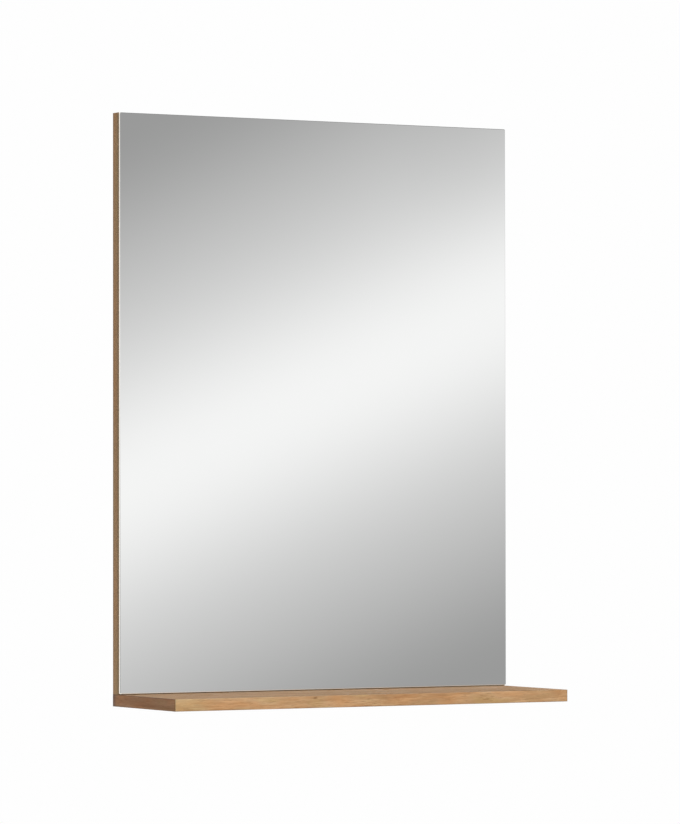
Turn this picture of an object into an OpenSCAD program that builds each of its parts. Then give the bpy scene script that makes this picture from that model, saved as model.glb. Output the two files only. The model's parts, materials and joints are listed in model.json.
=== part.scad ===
// Wall mirror with a narrow shelf
//
// The glass is taped to the front of a chipboard panel, and the panel stands on a shelf of the same board.
// X runs along the width, the mirror faces -Y, the wall is the plane y = 0 and +Z is up.
// The origin lies on the wall, midway between the entry holes of the two keyhole plates.

/* [Panel] */
// Width of the panel and of the shelf
body_w = 600; // [400:10:1000]
// Height of the panel, from the shelf's top to the panel's upper edge
panel_h = 774; // [400:1:1200]
// Thickness of the panel
panel_t = 16; // [15:0.5:25]

/* [Shelf] */
// Depth of the shelf, from its back edge to its front
shelf_d = 180; // [100:1:300]
// Thickness of the shelf
shelf_t = 16; // [15:0.5:25]

/* [Edge bands] */
// Thickness of the bands glued to the boards' edges
band_t = 1; // [0.5:0.1:2]
// Radius on the bands' outer arrises
band_arris_r = 0.4; // [0.1:0.05:0.4]

/* [Mirror] */
// Thickness of the glass without its silvering
glass_t = 3.9; // [2.9:0.1:5.9]
// Width of the ground chamfer along the glass's edges
glass_arris = 0.8; // [0.2:0.1:1.2]
// How far the glass stays inside the panel's outline at the sides and the top
glass_inset = 0.3; // [0.1:0.1:5]
// Gap between the glass and the shelf below it
glass_gap = 0.8; // [0.3:0.1:3]
// Thickness of the silver layer with its protective paint
silvering_t = 0.1; // [0.1:0.05:0.3]

/* [Mirror tape] */
// Thickness of the foam tape between the glass and the panel
tape_t = 1; // [0.5:0.1:3]
// Width of each tape strip
tape_w = 25; // [12:1:50]
// Distance of the outer strips from the panel's sides
tape_side_gap = 40; // [20:1:80]
// Distance of the strips' ends from the panel's upper and lower edges
tape_end_gap = 30; // [10:1:80]

/* [Shelf joint] */
// Distance of the cams from the panel's sides
cam_edge = 80; // [60:1:120]
// Height of the cams' centres above the shelf's top
cam_lift = 34; // [24:1:44]
// Diameter of the cams
cam_d = 15; // [14:0.5:20]
// How far the cams reach past the bolts' axis, towards the glass
cam_below_axis = 4.5; // [4.2:0.1:6]
// Diameter of the bolts' heads
bolt_head_d = 6.6; // [6:0.1:6.8]
// Thickness of the bolts' heads
bolt_head_t = 2.4; // [1.8:0.1:2.8]
// Diameter of the bolts' necks
bolt_neck_d = 3.6; // [3:0.1:4]
// Diameter of the bolts' stems
bolt_stem_d = 6; // [5:0.1:6.5]
// Diameter of the bores that the stems pass through
bolt_bore_d = 8; // [7.6:0.1:9]
// Diameter over the threads in the shelf
bolt_thread_d = 6; // [5:0.1:6.5]
// Depth of the threads in the shelf
bolt_thread_l = 11; // [8:0.5:12]
// Diameter of the dowels
dowel_d = 8; // [6:0.5:10]
// Length of the dowels
dowel_l = 30; // [25:1:40]
// Length of a dowel in the shelf
dowel_in_shelf = 10; // [8:0.5:12]
// Distance of the outer dowels from the cams, towards the panel's sides
dowel_from_cam = 32; // [20:1:48]

/* [Wall fixing] */
// Distance of the keyholes from the panel's sides
hanger_edge = 100; // [60:1:160]
// Distance of the keyholes' entry holes below the panel's upper edge
hanger_drop = 70; // [50:1:150]
// Width of a keyhole plate
hanger_w = 30; // [24:1:40]
// Thickness of the keyhole plates, and the gap that they leave at the wall
hanger_t = 2; // [1.8:0.1:3]
// Corner radius of the keyhole plates
hanger_corner_r = 5; // [1:0.5:8]
// Diameter of the entry hole that the wall screw's head passes
entry_d = 10; // [8:0.5:12]
// Width of the slot that the wall screw's shank rises in
slot_w = 5.8; // [4.8:0.1:6.4]
// Rise from the entry hole's centre to the centre of the slot's round end
slot_rise = 13; // [10:0.5:20]
// Room beside and behind the wall screw's head
head_room = 2; // [1:0.5:4]
// Depth of the pocket for the wall screw's head
pocket_depth = 11; // [6:0.5:12]
// Metal between a plate's end and the centre of its fixing screw
screw_edge = 8; // [6:0.5:12]
// Distance from the pocket's ends to the centres of the fixing screws
screw_from_pocket = 7; // [5:0.5:12]
// Head diameter of the fixing screws
screw_head_d = 6.8; // [6:0.1:7.2]
// Diameter over the threads of the fixing screws
screw_thread_d = 3.5; // [3.2:0.1:4]
// Length of the fixing screws
screw_l = 13; // [10:0.5:14]
// Diameter of the felt pads
pad_d = 20; // [10:1:30]
// Distance of the pads' centres from the panel's side and from its lower edge
pad_inset = 30; // [16:1:40]

/* [Hidden] */

// Clearances
fit_gap = 0.05;        // between a pin and the hole that it fits
end_gap = 1;           // between a pin's end and the bottom of its hole
running_gap = 0.3;     // between pieces that only have to pass each other
cut = 1;               // how far a cutting solid runs past the face that it opens

// Planes seen from the side, from the wall to the front
panel_back_y = -hanger_t;
panel_mid_y = panel_back_y - panel_t / 2;
panel_front_y = panel_back_y - panel_t;
silvering_back_y = panel_front_y - tape_t;
glass_back_y = silvering_back_y - silvering_t;
shelf_front_y = panel_back_y - shelf_d;

// Levels, from the top down
panel_top_z = hanger_drop;
shelf_top_z = panel_top_z - panel_h;
shelf_bottom_z = shelf_top_z - shelf_t;
glass_bottom_z = shelf_top_z + glass_gap;

// Edge bands
core_w = body_w - 2 * band_t;

// Glass
glass_w = body_w - 2 * glass_inset;
glass_h = panel_top_z - glass_inset - glass_bottom_z;

// Tape strips, spread evenly between the outer two
tape_count = 4;
tape_l = panel_h - 2 * tape_end_gap;
tape_outer_x = body_w / 2 - tape_side_gap - tape_w / 2;
tape_pitch = 2 * tape_outer_x / (tape_count - 1);

// Cams and their bolts
cam_x = body_w / 2 - cam_edge;
cam_z = shelf_top_z + cam_lift;
cam_r = cam_d / 2;
cam_sink = 0.3;                                   // the cam's face below the panel's back
cam_axis_depth = panel_t / 2 - cam_sink;          // from the cam's face to the bolt's axis
cam_t = cam_axis_depth + cam_below_axis;
cam_wall = 2.6;                                   // metal round the cavity for the bolt's head
cam_cavity_r = cam_r - cam_wall;
cam_floor = 0.8;                                  // metal between the cavity and the cam's inner face
cam_cavity_half = cam_below_axis - cam_floor;
cam_slot_half = bolt_neck_d / 2 + running_gap;
cam_slot_start = -125;                            // the slot's ends, as angles seen from the glass
cam_slot_end = 0;
cam_cross_l = 7;
cam_cross_w = 1.3;
cam_cross_depth = 2.4;
bolt_head_r = bolt_head_d / 2;
bolt_head_drop = sqrt(pow(cam_cavity_r, 2) - pow(bolt_head_r, 2)) - fit_gap;
bolt_neck_drop = cam_r + running_gap;             // the neck ends just below the cam
bolt_collar_d = bolt_bore_d - 2 * running_gap;
bolt_collar_t = 1.5;
thread_depth = 0.6;
bolt_pitch = 1.8;
tip_l = 1.5;

// Dowels
dowel_x = [-cam_x - dowel_from_cam, 0, cam_x + dowel_from_cam];
dowel_chamfer = 1;
dowel_flutes = 12;
dowel_flute_r = 0.35;

// Keyhole plates and their screws
hanger_x = body_w / 2 - hanger_edge;
head_gap_r = entry_d / 2 + head_room;
pocket_top_z = slot_rise + head_gap_r;
pocket_bottom_z = -head_gap_r;
screw_z = [pocket_bottom_z - screw_from_pocket, pocket_top_z + screw_from_pocket];
hanger_bottom_z = screw_z[0] - screw_edge;
hanger_top_z = screw_z[1] + screw_edge;
screw_head_r = screw_head_d / 2;
screw_thread_r = screw_thread_d / 2;
screw_head_h = screw_head_r - screw_thread_r;     // a right-angled countersink
screw_sink = 0.1;
screw_pitch = 1.4;
screw_thread_depth = 0.45;
screw_cross_l = 3.6;
screw_cross_w = 0.8;
screw_cross_depth = 1.4;

// Felt pads
pad_x = body_w / 2 - pad_inset;
pad_z = shelf_top_z + pad_inset;

oak = "#bf9468";
oak_band = "#b98d62";
steel = "#b9bcc0";
zinc = "#c9ccd0";

// A bar lying along X or Y as its placement turns it, with two rounded outer arrises.
// Its glued side is the plane x = 0, and it is as wide as the board that it covers.
module band(length, board_t) {
    flat_t = band_t - band_arris_r;
    linear_extrude(length, center = true) {
        square([flat_t, board_t]);
        translate([0, band_arris_r])
            square([band_t, board_t - 2 * band_arris_r]);
        for (y = [band_arris_r, board_t - band_arris_r])
            translate([flat_t, y])
                circle(r = band_arris_r, $fn = 32);
    }
}

// A hole bored from the plane y = 0 towards the glass
module bore_to_front(depth, r) {
    rotate([90, 0, 0])
        translate([0, 0, -cut])
            cylinder(h = depth + cut, r = r, $fn = 64);
}

// A hole that starts below the plane z = 0 and runs up to a height
module bore_up(height, r) {
    translate([0, 0, -cut])
        cylinder(h = height + cut, r = r, $fn = 48);
}

// A hole that starts above the plane z = 0 and runs down to a depth
module bore_down(depth, r) {
    translate([0, 0, -depth])
        cylinder(h = depth + cut, r = r, $fn = 48);
}

// Two bars at right angles, the recess for a cross-head driver, sunk from z = 0 upwards
module cross_recess(length, width, depth) {
    for (turn = [0, 90])
        rotate([0, 0, turn])
            translate([-length / 2, -width / 2, -cut])
                cube([length, width, depth + cut]);
}

// A rectangle from its corner at 0, 0 with its four corners cut off at 45 degrees
module chamfered_rectangle(w, h, chamfer) {
    polygon([
        [chamfer, 0], [w - chamfer, 0], [w, chamfer], [w, h - chamfer],
        [w - chamfer, h], [chamfer, h], [0, h - chamfer], [0, chamfer]
    ]);
}

// Points of a thread's saw-toothed side, from its top down, as [radius, level] pairs
function thread_points(crest_r, depth, pitch, top, length) =
    let (turns = floor(length / pitch))
    [for (i = [0:turns - 1]) each [
        [crest_r - depth, top - i * pitch],
        [crest_r, top - (i + 0.5) * pitch],
        [crest_r, top - (i + 0.65) * pitch]
    ]];

// Panel

module hanger_pocket() {
    depth = pocket_depth;
    for (z = [0, slot_rise])
        translate([0, 0, z])
            bore_to_front(depth, head_gap_r);
    translate([-head_gap_r, -depth, 0])
        cube([2 * head_gap_r, depth + cut, slot_rise]);
}

module panel_board() {
    color(oak)
        difference() {
            translate([-core_w / 2, panel_front_y, shelf_top_z])
                cube([core_w, panel_t, panel_h - band_t]);
            for (side = [-1, 1]) {
                translate([side * hanger_x, panel_back_y, 0]) {
                    hanger_pocket();
                    for (z = screw_z)
                        translate([0, 0, z])
                            bore_to_front(screw_l - hanger_t + end_gap, screw_thread_r + fit_gap);
                }
                translate([side * cam_x, panel_back_y, cam_z])
                    bore_to_front(cam_sink + cam_t + running_gap, cam_r + fit_gap);
                translate([side * cam_x, panel_mid_y, shelf_top_z])
                    bore_up(cam_lift, bolt_bore_d / 2);
            }
            for (x = dowel_x)
                translate([x, panel_mid_y, shelf_top_z])
                    bore_up(dowel_l - dowel_in_shelf + end_gap, dowel_d / 2 + fit_gap);
        }
}

module panel_band_right() {
    color(oak_band)
        translate([core_w / 2, panel_front_y, shelf_top_z + panel_h / 2])
            band(panel_h, panel_t);
}

module panel_band_left() {
    mirror([1, 0, 0])
        panel_band_right();
}

module panel_band_top() {
    color(oak_band)
        translate([0, panel_front_y, panel_top_z - band_t])
            rotate([0, -90, 0])
                band(core_w, panel_t);
}

// Mirror

module mirror_glass() {
    color("#d4dad9")
        translate([-glass_w / 2, glass_back_y - glass_t, glass_bottom_z])
            intersection() {
                linear_extrude(glass_h)
                    chamfered_rectangle(glass_w, glass_t, glass_arris);
                rotate([90, 0, 90])
                    linear_extrude(glass_w)
                        chamfered_rectangle(glass_t, glass_h, glass_arris);
            }
}

module mirror_silvering() {
    color("#8f9794")
        translate([-glass_w / 2 + glass_arris, glass_back_y, glass_bottom_z + glass_arris])
            cube([glass_w - 2 * glass_arris, silvering_t, glass_h - 2 * glass_arris]);
}

module tape_strip(number) {
    color("#e9e9e4")
        translate([number * tape_pitch - tape_outer_x - tape_w / 2, silvering_back_y, shelf_top_z + tape_end_gap])
            cube([tape_w, tape_t, tape_l]);
}

module mirror_tape_far_left() {
    tape_strip(0);
}

module mirror_tape_left() {
    tape_strip(1);
}

module mirror_tape_right() {
    tape_strip(2);
}

module mirror_tape_far_right() {
    tape_strip(3);
}

// Shelf

module shelf_board() {
    color(oak)
        difference() {
            translate([-core_w / 2, shelf_front_y + band_t, shelf_bottom_z])
                cube([core_w, shelf_d - band_t, shelf_t]);
            for (side = [-1, 1])
                translate([side * cam_x, panel_mid_y, shelf_top_z])
                    bore_down(bolt_thread_l + end_gap, bolt_thread_d / 2 + fit_gap);
            for (x = dowel_x)
                translate([x, panel_mid_y, shelf_top_z])
                    bore_down(dowel_in_shelf + end_gap, dowel_d / 2 + fit_gap);
        }
}

module shelf_band_front() {
    color(oak_band)
        translate([0, shelf_front_y + band_t, shelf_bottom_z])
            rotate([90, 0, -90])
                band(body_w, shelf_t);
}

module shelf_band_right() {
    length = shelf_d - band_t;
    color(oak_band)
        translate([core_w / 2, panel_back_y - length / 2, shelf_bottom_z])
            rotate([90, 0, 0])
                band(length, shelf_t);
}

module shelf_band_left() {
    mirror([1, 0, 0])
        shelf_band_right();
}

// Shelf joint

// A wedge wide enough to cross the whole cam, from one angle to another
module cam_slot_wedge() {
    reach = 2 * cam_d;
    middle = (cam_slot_start + cam_slot_end) / 2;
    polygon([
        [0, 0],
        for (a = [cam_slot_start, middle, cam_slot_end]) reach * [cos(a), sin(a)]
    ]);
}

// A cam turned tight: its cavity holds the bolt's head and its slot lets the neck through.
// Its outer face is the plane y = 0, and it reaches towards the glass.
module cam() {
    rotate([90, 0, 0])
        difference() {
            cylinder(h = cam_t, r = cam_r, $fn = 64);
            translate([0, 0, cam_axis_depth - cam_cavity_half]) {
                cylinder(h = 2 * cam_cavity_half, r = cam_cavity_r, $fn = 64);
                translate([0, -cam_cavity_half, 0])
                    cube([cam_d, 2 * cam_cavity_half, 2 * cam_cavity_half]);
            }
            translate([0, 0, cam_axis_depth - cam_slot_half])
                linear_extrude(2 * cam_slot_half)
                    cam_slot_wedge();
            cross_recess(cam_cross_l, cam_cross_w, cam_cross_depth);
        }
}

module cams() {
    color(zinc)
        for (side = [-1, 1])
            translate([side * cam_x, panel_back_y - cam_sink, cam_z])
                cam();
}

// A bolt with its collar on the plane z = 0, its threads below and its head up in the cam
module cam_bolt() {
    neck_r = bolt_neck_d / 2;
    stem_r = bolt_stem_d / 2;
    crest_r = bolt_thread_d / 2;
    head_z = cam_lift - bolt_head_drop;
    neck_z = cam_lift - bolt_neck_drop;
    rotate_extrude($fn = 48)
        polygon(concat(
            [
                [0, head_z + bolt_head_t],
                [bolt_head_r, head_z + bolt_head_t],
                [bolt_head_r, head_z],
                [neck_r, head_z],
                [neck_r, neck_z],
                [stem_r, neck_z],
                [stem_r, bolt_collar_t],
                [bolt_collar_d / 2, bolt_collar_t],
                [bolt_collar_d / 2, 0]
            ],
            thread_points(crest_r, thread_depth, bolt_pitch, 0, bolt_thread_l - tip_l),
            [
                [crest_r - thread_depth, tip_l - bolt_thread_l],
                [0, -bolt_thread_l]
            ]
        ));
}

module cam_bolts() {
    color(steel)
        for (side = [-1, 1])
            translate([side * cam_x, panel_mid_y, shelf_top_z])
                cam_bolt();
}

// A fluted dowel with chamfered ends, standing on the plane z = 0
module dowel() {
    r = dowel_d / 2;
    intersection() {
        linear_extrude(dowel_l)
            difference() {
                circle(r = r, $fn = 64);
                for (i = [0:dowel_flutes - 1])
                    rotate([0, 0, i * 360 / dowel_flutes])
                        translate([r, 0])
                            circle(r = dowel_flute_r, $fn = 16);
            }
        rotate_extrude($fn = 64)
            polygon([
                [0, 0], [r - dowel_chamfer, 0], [r, dowel_chamfer],
                [r, dowel_l - dowel_chamfer], [r - dowel_chamfer, dowel_l], [0, dowel_l]
            ]);
    }
}

module dowels() {
    color("#d9b98a")
        for (x = dowel_x)
            translate([x, panel_mid_y, shelf_top_z - dowel_in_shelf])
                dowel();
}

// Wall fixing

module keyhole_outline() {
    circle(r = entry_d / 2, $fn = 64);
    translate([-slot_w / 2, 0])
        square([slot_w, slot_rise]);
    translate([0, slot_rise])
        circle(r = slot_w / 2, $fn = 48);
}

module hanger_outline() {
    r = hanger_corner_r;
    h = hanger_top_z - hanger_bottom_z;
    translate([-hanger_w / 2, hanger_bottom_z]) {
        translate([r, 0])
            square([hanger_w - 2 * r, h]);
        translate([0, r])
            square([hanger_w, h - 2 * r]);
        for (x = [r, hanger_w - r], y = [r, h - r])
            translate([x, y])
                circle(r = r, $fn = 48);
    }
}

// A plate whose wall side is the plane y = 0, with its keyhole at the origin and two countersunk holes
module hanger_plate() {
    rotate([90, 0, 0])
        difference() {
            linear_extrude(hanger_t)
                difference() {
                    hanger_outline();
                    keyhole_outline();
                    for (z = screw_z)
                        translate([0, z])
                            circle(r = screw_thread_r + fit_gap, $fn = 48);
                }
            for (z = screw_z)
                translate([0, z, 0])
                    countersink();
        }
}

// The countersink for a fixing screw, with its wide end just outside the plane z = 0
module countersink() {
    mouth_r = screw_head_r + screw_sink + fit_gap;
    end_r = screw_thread_r + fit_gap;
    translate([0, 0, -cut])
        cylinder(h = cut + (mouth_r - end_r), r1 = mouth_r + cut, r2 = end_r, $fn = 48);
}

module hanger_plate_left() {
    color(steel)
        translate([-hanger_x, 0, 0])
            hanger_plate();
}

module hanger_plate_right() {
    color(steel)
        translate([hanger_x, 0, 0])
            hanger_plate();
}

// A countersunk screw that points towards the glass, its head just inside the plane y = 0
module hanger_screw() {
    rotate([-90, 0, 0])
        difference() {
            rotate_extrude($fn = 48)
                polygon(concat(
                    [
                        [0, -screw_sink],
                        [screw_head_r, -screw_sink],
                        [screw_thread_r, -screw_sink - screw_head_h]
                    ],
                    thread_points(
                        screw_thread_r, screw_thread_depth, screw_pitch,
                        -hanger_t, screw_l - hanger_t - tip_l
                    ),
                    [
                        [screw_thread_r - screw_thread_depth, tip_l - screw_l],
                        [0, -screw_l]
                    ]
                ));
            rotate([180, 0, 0])
                translate([0, 0, screw_sink])
                    cross_recess(screw_cross_l, screw_cross_w, screw_cross_depth);
        }
}

module hanger_screws() {
    color(zinc)
        for (side = [-1, 1], z = screw_z)
            translate([side * hanger_x, 0, z])
                hanger_screw();
}

module wall_pad_right() {
    color("#5b5854")
        translate([pad_x, 0, pad_z])
            rotate([90, 0, 0])
                cylinder(h = hanger_t, r = pad_d / 2, $fn = 64);
}

module wall_pad_left() {
    mirror([1, 0, 0])
        wall_pad_right();
}

panel_board();
panel_band_left();
panel_band_right();
panel_band_top();
mirror_glass();
mirror_silvering();
mirror_tape_far_left();
mirror_tape_left();
mirror_tape_right();
mirror_tape_far_right();
shelf_board();
shelf_band_front();
shelf_band_left();
shelf_band_right();
cams();
cam_bolts();
dowels();
hanger_plate_left();
hanger_plate_right();
hanger_screws();
wall_pad_left();
wall_pad_right();
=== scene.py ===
"""Gives a wall mirror with a narrow oak-decor shelf its looks: a Blender add-on that is run as a script.

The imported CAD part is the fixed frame: X runs along the width, the mirror faces -Y, the wall is the plane y = 0 and
+Z is up. The boards, bands and hardware keep their CAD shapes and get finishes. The glass, its foam tape and the felt
pads are built here.
"""

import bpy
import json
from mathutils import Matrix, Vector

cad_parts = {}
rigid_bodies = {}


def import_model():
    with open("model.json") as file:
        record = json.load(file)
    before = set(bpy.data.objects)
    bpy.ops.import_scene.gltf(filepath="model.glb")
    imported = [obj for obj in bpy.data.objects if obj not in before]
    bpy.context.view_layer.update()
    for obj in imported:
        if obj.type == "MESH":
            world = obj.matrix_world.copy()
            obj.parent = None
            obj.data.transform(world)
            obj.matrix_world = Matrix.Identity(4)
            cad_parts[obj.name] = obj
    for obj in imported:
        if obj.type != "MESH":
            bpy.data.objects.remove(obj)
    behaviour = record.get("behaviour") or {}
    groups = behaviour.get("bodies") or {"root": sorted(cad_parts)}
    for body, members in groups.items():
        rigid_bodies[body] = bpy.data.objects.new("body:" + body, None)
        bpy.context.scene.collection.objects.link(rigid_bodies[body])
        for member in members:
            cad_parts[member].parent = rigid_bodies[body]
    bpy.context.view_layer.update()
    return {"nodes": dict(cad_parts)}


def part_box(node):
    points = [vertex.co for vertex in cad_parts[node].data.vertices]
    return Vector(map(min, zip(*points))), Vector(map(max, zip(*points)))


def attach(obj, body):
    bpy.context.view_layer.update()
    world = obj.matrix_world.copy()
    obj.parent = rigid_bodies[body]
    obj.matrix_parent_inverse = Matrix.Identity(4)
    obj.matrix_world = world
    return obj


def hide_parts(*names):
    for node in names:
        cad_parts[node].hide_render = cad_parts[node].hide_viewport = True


bl_info = {
    "name": "Wall mirror with shelf",
    "version": (1, 0, 0),
    "blender": (4, 5, 0),
    "location": "3D View > Sidebar > Wall Mirror",
    "description": "Dresses the packed wall mirror: glass, oak decor, hardware, felt, and a plain studio",
    "category": "Object",
}

import json
import math

import bpy
import numpy as np
from bpy.props import FloatProperty, FloatVectorProperty, PointerProperty
from bpy.types import Operator, Panel, PropertyGroup

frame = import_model()

BODY = "root"

TAPES = ("mirror_tape_far_left", "mirror_tape_left", "mirror_tape_right", "mirror_tape_far_right")
HANGERS = ("hanger_plate_left", "hanger_plate_right")
PADS = ("wall_pad_left", "wall_pad_right")
SHELF = ("shelf_board", "shelf_band_front", "shelf_band_left", "shelf_band_right")

# The photograph's camera, worked out from the edges of the panel, glass and shelf
CAMERA_PLACE = (-3.0886, -5.5638, -0.4425)
CAMERA_TURN_DEGREES = (91.049, 0.057, -29.413)
CAMERA_LENS_MM = 203.95

# Turns that bring the grain, which runs along X in the oak pattern, along another axis of the object
ALONG_X = (0.0, 0.0, 0.0)
ALONG_Y = (0.0, 0.0, math.radians(-90))
ALONG_Z = (0.0, math.radians(90), 0.0)

# Tints and width of fine lines along the edge bands' edges: painted shade (dark) and a painted highlight (pale)
EDGE_SHADE_TINT = (0.66, 0.68, 0.74)
EDGE_HIGHLIGHT_TINT = (1.06, 1.12, 1.20)
RIM_WIDTH = 0.0013

# Gloss and pore depth of oak decor
OAK_SPECULAR = 0.18
PORE_DEPTH = 0.00012

# Depths under a board's face, from and to, where its decor ends and its coarse core begins
DECOR_ENDS = (0.00017, 0.00033)
CORE_BEGINS = (0.0019, 0.0045)

# Heights over the lower edge of the glass, from and to: the joint with the shelf, darkened with painted shade, the
# painted light that the edge takes from the oak, and the painted warm foot of the reflection
JOINT_SHADE = (0.00044, 0.00054)
OAK_LIGHT = (0.0008, 0.0012)
WARM_FOOT = (0.0020, 0.0013)

# Distances over which the light in the ground edge dies down: from its left end, and upwards from its lower one
GLOW_SIDEWAYS = (0.001, 0.03)
GLOW_UPWARDS = (0.001, 0.005)


# ---- Settings ----


def colour(name, description, default):
    """A colour setting in linear light."""
    return FloatVectorProperty(
        name=name, description=description, default=default, size=3, min=0, max=1, subtype="COLOR"
    )


class GlassSettings(PropertyGroup):
    """Sizes and colours of the mirror glass."""

    corner_radius: FloatProperty(
        name="Corner radius", description="Rounding of the plate's four corners", default=0.0015, unit="LENGTH"
    )
    arris: FloatProperty(
        name="Arris", description="Width of the polished chamfer along the edges", default=0.0007, unit="LENGTH"
    )
    silver: colour("Silver", "Tint of the reflection", (0.930, 0.935, 0.930))
    edge: colour("Ground edge", "Colour of the ground and polished edge", (0.620, 0.640, 0.590))
    edge_glow: colour("Edge glow", "Light that the plate carries to its ground edge", (0.650, 0.560, 0.480))
    backing: colour("Backing paint", "Colour of the paint behind the silver", (0.150, 0.175, 0.175))
    tape: colour("Foam tape", "Colour of the double-sided foam tape", (0.790, 0.790, 0.760))


class OakSettings(PropertyGroup):
    """Colours of the oak decor and of the chipboard under it."""

    light: colour("Light wood", "Palest streaks of the decor", (0.575, 0.364, 0.194))
    middle: colour("Middle wood", "Main tone of the decor", (0.468, 0.275, 0.130))
    dark: colour("Dark wood", "Darkest streaks of the decor", (0.360, 0.193, 0.085))
    pore: colour("Pores", "Colour inside the pores", (0.200, 0.095, 0.037))
    chip_light: colour("Pale chips", "Palest chips of the board's core", (0.600, 0.440, 0.270))
    chip_dark: colour("Dark chips", "Darkest chips of the board's core", (0.270, 0.165, 0.085))
    chip_gap: colour("Gaps", "Gaps between the chips of the board's core", (0.110, 0.062, 0.032))


class HardwareSettings(PropertyGroup):
    """Colours of the metal, felt and beech."""

    steel: colour("Steel", "Bright zinc-plated steel", (0.620, 0.635, 0.660))
    zinc: colour("Zinc", "Bare zinc die casting", (0.520, 0.530, 0.545))
    felt: colour("Felt", "Pressed felt", (0.105, 0.098, 0.090))
    beech: colour("Beech", "Raw beech of the dowels", (0.690, 0.470, 0.275))


class StudioSettings(PropertyGroup):
    """Levels of the plain white studio and of the soft gradient that the mirror shows."""

    ambient: FloatProperty(name="Ambient", description="Even light from all round", default=0.26, min=0)
    key: FloatProperty(name="Key", description="Strength of the soft key light", default=2.2, min=0)
    fill: FloatProperty(name="Fill", description="Strength of the soft light behind", default=0.9, min=0)
    backdrop: FloatProperty(name="Backdrop", description="Brightness of the backdrop", default=0.991, min=0, max=1)
    floor_level: FloatProperty(name="Floor level", description="Height of the floor", default=-1.75, unit="LENGTH")
    card_radius: FloatProperty(
        name="Card radius", description="Distance of the graded card from the mirror", default=1.5, unit="LENGTH"
    )
    card_mean: FloatProperty(name="Card mean", description="Mean brightness of the graded card", default=0.637, min=0)
    card_swing: FloatProperty(name="Card swing", description="Half of the card's range", default=0.292, min=0)


# ---- Surfaces ----


def grid_quads(rows, columns, wrap):
    """Corner numbers of the quads between neighbouring points of a grid, as one array.

    Point (i, j) has the number i * columns + j. With wrap, the last column joins the first.
    """
    start = np.arange(rows - 1)[:, None] * columns
    j = np.arange(columns if wrap else columns - 1)[None, :]
    after = (j + 1) % columns
    corners = [start + j, start + after, start + columns + after, start + columns + j]
    return np.stack(corners, -1).reshape(-1, 4)


def capped_faces(rows, columns):
    """Faces of a closed skin: the quads between its rings of points, then a cap on the first and the last ring."""
    first = list(range(columns - 1, -1, -1))
    last = list(range((rows - 1) * columns, rows * columns))
    return [*grid_quads(rows, columns, wrap=True).tolist(), first, last]


def make_object(name, points, faces, smooth=True):
    """A mesh object at the origin from an array of points and a list of faces."""
    mesh = bpy.data.meshes.new(name)
    mesh.from_pydata(np.asarray(points, float).reshape(-1, 3).tolist(), [], faces)
    mesh.validate()
    if smooth:
        mesh.shade_smooth()
    else:
        mesh.shade_flat()
    mesh.update()
    made = bpy.data.objects.new(name, mesh)
    bpy.context.scene.collection.objects.link(made)
    return made


def plate_rows(width, height, radius, profile, steps):
    """Rows of points that carry a profile round a rectangle with rounded corners.

    At the angle a a corner's point is its centre + (radius - inset) * (cos a, sin a), with a running through 90
    degrees at each corner. The profile gives (inset, depth) pairs, one row of points for each.
    """
    turn = np.radians(np.linspace(0, 90, steps + 1))
    angle = np.concatenate([turn + k * math.pi / 2 for k in range(4)])
    sign_x = np.repeat([1, -1, -1, 1], steps + 1)
    sign_z = np.repeat([1, 1, -1, -1], steps + 1)
    inset, depth = np.asarray(profile, float).T[:, :, None]
    x = sign_x * (width / 2 - radius) + (radius - inset) * np.cos(angle)
    z = sign_z * (height / 2 - radius) + (radius - inset) * np.sin(angle)
    return np.stack([x, np.broadcast_to(depth, x.shape), z], -1)


def mirror_plate(low, high, arris, radius):
    """The glass plate: back, arris, edge, arris and front, carried round its outline as one closed skin.

    Its points are plate_rows of the profile (0.45 a, back), (0, back - 0.45 a), (0, front + 1.2 a), (a, front), with a
    for the arris. Slot 0 is the mirror's face with its polished arris, slot 1 the ground edge with the back arris and
    the front one above the shelf, and slot 2 the painted back.
    """
    width, height = high[0] - low[0], high[2] - low[2]
    back, front = high[1], low[1]
    back_arris, front_slope = 0.45 * arris, 1.2 * arris
    profile = [(back_arris, back), (0, back - back_arris), (0, front + front_slope), (arris, front)]
    corner_steps = 10
    rows = plate_rows(width, height, radius, profile, corner_steps)
    rows[..., 0] += (low[0] + high[0]) / 2
    rows[..., 2] += (low[2] + high[2]) / 2
    plate = make_object("mirror_plate", rows, capped_faces(*rows.shape[:2]), smooth=False)
    face, edge, paint = range(3)
    count = rows.shape[1]
    slots = np.repeat([edge, edge, face, paint, face], [count, count, count, 1, 1]).astype(np.int32)
    bottom_side = 3 * (corner_steps + 1) - 1
    slots[2 * count + bottom_side] = edge
    plate.data.polygons.foreach_set("material_index", slots)
    return plate


def felt_disc(name, low, high):
    """A felt pad: a disc whose rim is a fuzzy half round.

    With u once round and v from the back's centre over the rim to the front's, the radius is
    R * (1 - 0.04 * |c|^3) * sin^0.35(v) with c = cos v, less a small sum of waves in u near the rim, and the depth is
    the middle + half the thickness * |c|^0.25 with c's sign.
    """
    around, across, near_pole, fuzz_depth = 96, 28, 0.02, 0.00022
    centre = (np.asarray(low) + np.asarray(high)) / 2
    reach, half = (high[0] - low[0]) / 2, (high[1] - low[1]) / 2
    u = np.linspace(0, 2 * math.pi, around, endpoint=False)[None, :]
    v = np.linspace(near_pole, math.pi - near_pole, across)[:, None]
    c, s = np.cos(v), np.sin(v)
    fuzz = 0.5 + 0.25 * (np.sin(17 * u + 2 * v) + np.sin(41 * u - 3 * v + 1.3))
    radius = reach * np.power(s, 0.35) * (1 - 0.04 * np.abs(c) ** 3) - fuzz_depth * fuzz * s**4
    depth = half * np.sign(c) * np.abs(c) ** 0.25
    points = np.stack(
        [centre[0] + radius * np.cos(u), centre[1] + depth + 0 * u, centre[2] + radius * np.sin(u)], -1
    )
    return make_object(name, points, capped_faces(across, around))


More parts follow.
